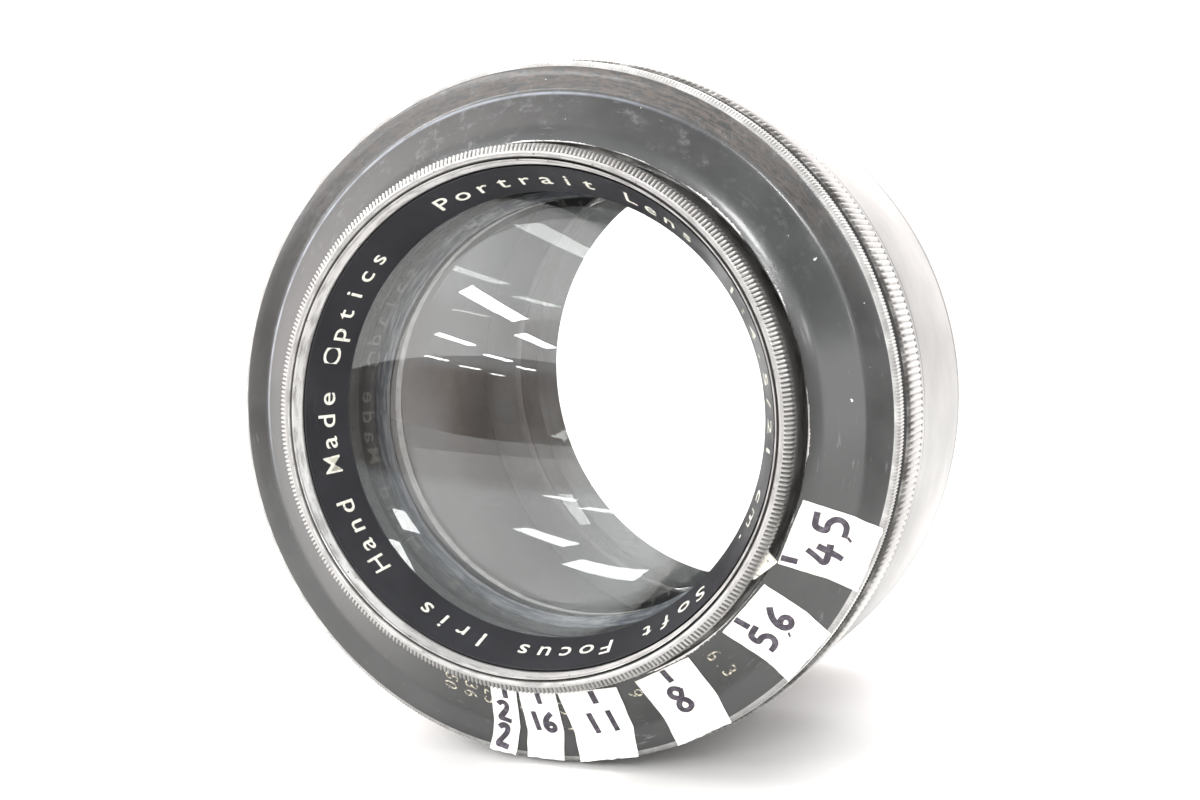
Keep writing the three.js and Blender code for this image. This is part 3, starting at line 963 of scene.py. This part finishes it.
# Handwriting: strokes of each digit in a cell one unit high, x to the right and y up.
STROKES = {
    "4": [
        [(0.42, 1.0), (0.3, 0.72), (0.12, 0.42), (0.45, 0.42), (0.78, 0.47)],
        [(0.62, 0.78), (0.55, 0.4), (0.46, 0.0)],
    ],
    "5": [[
        (0.72, 0.98), (0.45, 0.95), (0.25, 0.9), (0.22, 0.55), (0.45, 0.62), (0.66, 0.5), (0.7, 0.28),
        (0.5, 0.06), (0.2, 0.08),
    ]],
    "6": [[
        (0.62, 0.98), (0.38, 0.78), (0.22, 0.45), (0.24, 0.16), (0.45, 0.02), (0.66, 0.14), (0.68, 0.36),
        (0.48, 0.47), (0.26, 0.34),
    ]],
    "8": [[
        (0.66, 0.8), (0.5, 0.97), (0.28, 0.9), (0.24, 0.7), (0.42, 0.54), (0.64, 0.4), (0.7, 0.18),
        (0.5, 0.02), (0.26, 0.1), (0.24, 0.32), (0.44, 0.5), (0.64, 0.64), (0.68, 0.84),
    ]],
    "1": [[(0.42, 0.98), (0.45, 0.6), (0.52, 0.02)]],
    "2": [[
        (0.22, 0.8), (0.36, 0.97), (0.6, 0.9), (0.62, 0.66), (0.42, 0.38), (0.2, 0.1), (0.45, 0.12),
        (0.76, 0.06),
    ]],
    ".": [[(0.42, 0.06), (0.5, 0.02)]],
}

# Dial angle, width, where the tick is across the label, and each written sign: (sign, right, down, height).
# Right is against the turn, and down is from the inner end outwards to the middle of the sign.
LABELS = {
    "4.5": (21.5, 7.5, -3.1, [("4", -2.85, 4.1, 3.8), (".", -0.35, 4.3, 3.4), ("5", 0.4, 3.6, 3.8)]),
    "5.6": (40.2, 7.3, -1.6, [("5", -3.1, 3.8, 3.2), (".", -0.85, 4.2, 2.8), ("6", -0.1, 3.5, 3.2)]),
    "8": (62.4, 7.0, 0.0, [("8", -1.85, 4.0, 3.4)]),
    "11": (79.7, 7.2, 0.4, [("1", -2.1, 4.3, 2.9), ("1", 0.25, 4.2, 2.9)]),
    "16": (91.0, 4.6, 0.0, [("1", -2.1, 4.2, 2.7), ("6", -0.35, 4.2, 2.6)]),
    "22": (98.6, 3.3, 0.1, [("2", -1.45, 3.7, 2.9), ("2", -1.5, 7.0, 2.9)]),
}


def curl(name, u):
    """How far a label's outer end stands off the dial."""
    return 0.35 * max(0.0, (u - 39.0) / 1.2) ** 2 if name == "22" else 0.0


def wrinkle(u, w, seed):
    """How far the paper stands off the dial at a place on it."""
    return noise.noise(Vector((u * 0.55, w * 0.35, seed * 5.0))) * WRINKLE


class LENS_OT_labels(Piece):
    """Builds the paper labels and the handwriting on them"""

    bl_idname = "lens.labels"
    bl_label = "Paper Labels"

    def build(self, sizes):
        for seed, (name, (angle, width, tick, signs)) in enumerate(LABELS.items()):
            paper = bmesh.new()
            bmesh.ops.create_grid(paper, x_segments=44, y_segments=max(10, int(width * 4)), size=0.5)
            for v in paper.verts:
                ragged = noise.noise(Vector((v.co.x * 6, seed * 7.1, round(v.co.y * 2)))) * 0.12
                u = LABEL_START + (v.co.x + 0.5) * (LABEL_END - LABEL_START)
                w = v.co.y * (width + ragged)
                u += noise.noise(Vector((seed * 3.3, w * 1.4, 0))) * 0.12 * (0.3 if v.co.x < 0.45 else 1.0)
                v.co = on_dial(u, w, LABEL_LIFT + wrinkle(u, w, seed) + curl(name, u), angle)
            bmesh.ops.solidify(paper, geom=paper.faces[:], thickness=LABEL_THICKNESS)
            bmesh.ops.recalc_face_normals(paper, faces=paper.faces)
            ink = self.writing(sizes, name, angle, tick, signs, seed)
            for face in ink.faces:
                face.material_index = 1
            finished(
                joined([paper, ink]), "label_" + name, "barrel", "paper", "ink",
                replaces=["paper_label_" + name], slot="paper", sharp=50,
            )

    def writing(self, sizes, name, angle, tick, signs, seed):
        """A bmesh of the tick and the signs on one label, laid over its wrinkles."""
        lines = [[(tick, -0.1), (tick + 0.05, -0.9), (tick + 0.12, -1.75)]]
        for sign, right, down, height in signs:
            for stroke in STROKES[sign]:
                lines.append([(right + x * height * 0.95, -down + (y - 0.5) * height) for x, y in stroke])
        curve = bpy.data.curves.new("ink", "CURVE")
        curve.dimensions = "3D"
        curve.bevel_depth = sizes.marker_width / 2
        curve.bevel_resolution = 2
        curve.resolution_u = 6
        curve.use_fill_caps = True
        for line in lines:
            spline = curve.splines.new("NURBS")
            spline.points.add(len(line) - 1)
            for point, (x, y) in zip(spline.points, line):
                point.co = (x, y, 0, 1)
                point.radius = 0.92 + 0.25 * noise.noise(Vector((x, y, seed)))
            spline.order_u = 3
            spline.use_endpoint_u = True
        shape = mesh_of(curve)
        ink = bmesh.new()
        ink.from_mesh(shape)
        bpy.data.meshes.remove(shape)
        bmesh.ops.remove_doubles(ink, verts=ink.verts, dist=0.0005)
        for v in ink.verts:
            u, w = LABEL_START - v.co.y, -v.co.x
            paper_lift = LABEL_LIFT + LABEL_THICKNESS / 2 + wrinkle(u, w, seed) + curl(name, u)
            v.co = on_dial(u, w, paper_lift + INK_LIFT + v.co.z * 0.1, angle)
        bmesh.ops.recalc_face_normals(ink, faces=ink.faces)
        return ink


class LENS_OT_iris(Piece):
    """Gives the iris, its plates and its pins their finishes"""

    bl_idname = "lens.iris"
    bl_label = "Iris and Inner Plates"

    def build(self, sizes):
        for name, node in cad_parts.items():
            if name.startswith("iris_blade"):
                key = "steel"
            elif name in ("pivot_plate", "body_plate", "cam_ring"):
                key = "plates"
            elif name in ("drive_pin", "iris_spacer") or name.startswith("dial_post"):
                key = "brass"
            else:
                continue
            node.data.materials.clear()
            node.data.materials.append(finish(key))


class LENS_OT_stage(bpy.types.Operator):
    """Builds the floor, the lamps, the room's light and the camera"""

    bl_idname = "lens.stage"
    bl_label = "Stage"
    bl_options = {"REGISTER", "UNDO"}
    front_edge = 0.23  # the table ends this far in front of the lens, and the room beyond it is dark

    def execute(self, context):
        scene = context.scene
        bm = bmesh.new()
        bmesh.ops.create_circle(bm, cap_ends=True, segments=128, radius=5.0)
        bmesh.ops.translate(bm, vec=(0, 5.0 - self.front_edge, 0), verts=bm.verts)
        mesh = bpy.data.meshes.new("floor")
        bm.to_mesh(mesh)
        bm.free()
        mesh.materials.append(finish("floor"))
        floor = bpy.data.objects.new("floor", mesh)
        scene.collection.objects.link(floor)
        self.room(scene)
        self.lamps(scene)
        camera = bpy.data.cameras.new("camera")
        camera.lens = 57
        camera.sensor_width = 36
        camera.clip_start = 0.01
        stand = bpy.data.objects.new("camera", camera)
        stand.location = CAMERA_PLACE
        stand.rotation_euler = Vector(CAMERA_AIM).to_track_quat("-Z", "Y").to_euler()
        scene.collection.objects.link(stand)
        scene.camera = stand
        scene.view_settings.view_transform = "Standard"
        return {"FINISHED"}

    def room(self, scene):
        """Brightest to the left and behind, dimmest in front on the right, and plain white to the camera."""
        world = bpy.data.worlds.new("room")
        world.use_nodes = True
        shade = world.node_tree.nodes["Background"]
        n = Nodes(world.node_tree)
        place = n.node("ShaderNodeTexCoord").outputs["Generated"]
        toward = n.vector_math("DOT_PRODUCT", place, Vector((-0.8, 0.58, 0.1)).normalized(), out="Value")
        fade = n.between(toward, -0.35, 0.75, 0.7, 3.1)
        # a dark room just above the horizon, in front
        split = n.node("ShaderNodeSeparateXYZ")
        n.link(place, split.inputs[0])
        low = n.between(split.outputs[2], 0.07, 0.13)
        front = n.between(split.outputs[1], -0.5, -0.8)
        panels = n.noise(3.2, 3.0, 0.5, vector=n.vector_math("MULTIPLY", place, (1.0, 1.0, 0.5)))
        panels = n.between(panels, 0.4, 0.6, 0.35, 1.0)
        shade_of_room = n.blend(front, 1.0, n.blend(low, panels, 2.0))
        seen = n.node("ShaderNodeLightPath").outputs["Is Camera Ray"]
        strength = n.math("MULTIPLY", fade, shade_of_room)
        n.link(n.blend(seen, strength, 1.1), shade.inputs["Strength"])
        # a little warmer where the lens mirrors the dark room
        warm = n.math("SUBTRACT", n.between(shade_of_room, 1.3, 0.5), seen, clamp=True)
        n.link(n.mix(warm, (0.97, 0.985, 1.0), (1.0, 0.82, 0.74)), shade.inputs["Color"])
        scene.world = world

    def lamps(self, scene):
        top, right = Vector((0.0, 0.3, 1.3)), Vector((1.55, -1.2, 0.1))
        self.lamp(scene, "lamp_top", top, (1.4, 1.4), 22.0, (AXIS - top).to_track_quat("-Z", "Y"))
        self.lamp(scene, "lamp_right", right, (1.1, 0.7), 7.0, (AXIS - right).to_track_quat("-Z", "Y"))
        # rows of tubes under the ceiling, far in front, that show as small bars in the glass
        turn = Matrix.Rotation(math.radians(-75), 3, "Z").to_quaternion()
        for row, (x, lines) in enumerate(TUBE_ROWS):
            for k, y in enumerate(lines):
                self.lamp(scene, f"tube_{row}_{k}", Vector((x, y, TUBE_HEIGHT)), (2.2, 0.55), 150.0, turn)

    @staticmethod
    def lamp(scene, name, place, size, power, turn):
        light = bpy.data.lights.new(name, "AREA")
        light.shape = "RECTANGLE"
        light.size, light.size_y = size
        light.energy = power
        lamp = bpy.data.objects.new(name, light)
        lamp.location = place
        lamp.rotation_euler = turn.to_euler()
        scene.collection.objects.link(lamp)


PIECES = (
    LENS_OT_aperture_dial, LENS_OT_clamp_ring, LENS_OT_barrel, LENS_OT_setting_ring, LENS_OT_front_cell,
    LENS_OT_name_ring, LENS_OT_glasses, LENS_OT_rear, LENS_OT_labels, LENS_OT_iris, LENS_OT_stage,
)


class LENS_PT_panel(bpy.types.Panel):
    """Sidebar panel that lists the pieces of the lens"""

    bl_idname = "LENS_PT_panel"
    bl_label = "Portrait Lens"
    bl_space_type = "VIEW_3D"
    bl_region_type = "UI"
    bl_category = "Lens"

    def draw(self, context):
        column = self.layout.column()
        for piece in PIECES:
            column.operator(piece.bl_idname)
        for group in (context.scene.lens_sizes, context.scene.lens_colours):
            for name in group.__annotations__:
                column.prop(group, name)


CLASSES = (LensSizes, LensColours, *PIECES, LENS_PT_panel)


def register():
    for cls in CLASSES:
        bpy.utils.register_class(cls)
    bpy.types.Scene.lens_sizes = PointerProperty(type=LensSizes)
    bpy.types.Scene.lens_colours = PointerProperty(type=LensColours)


def unregister():
    del bpy.types.Scene.lens_colours
    del bpy.types.Scene.lens_sizes
    for cls in reversed(CLASSES):
        bpy.utils.unregister_class(cls)


def main():
    register()
    for piece in PIECES:
        getattr(bpy.ops.lens, piece.bl_idname.split(".")[1])()


if __name__ == "__main__":
    main()
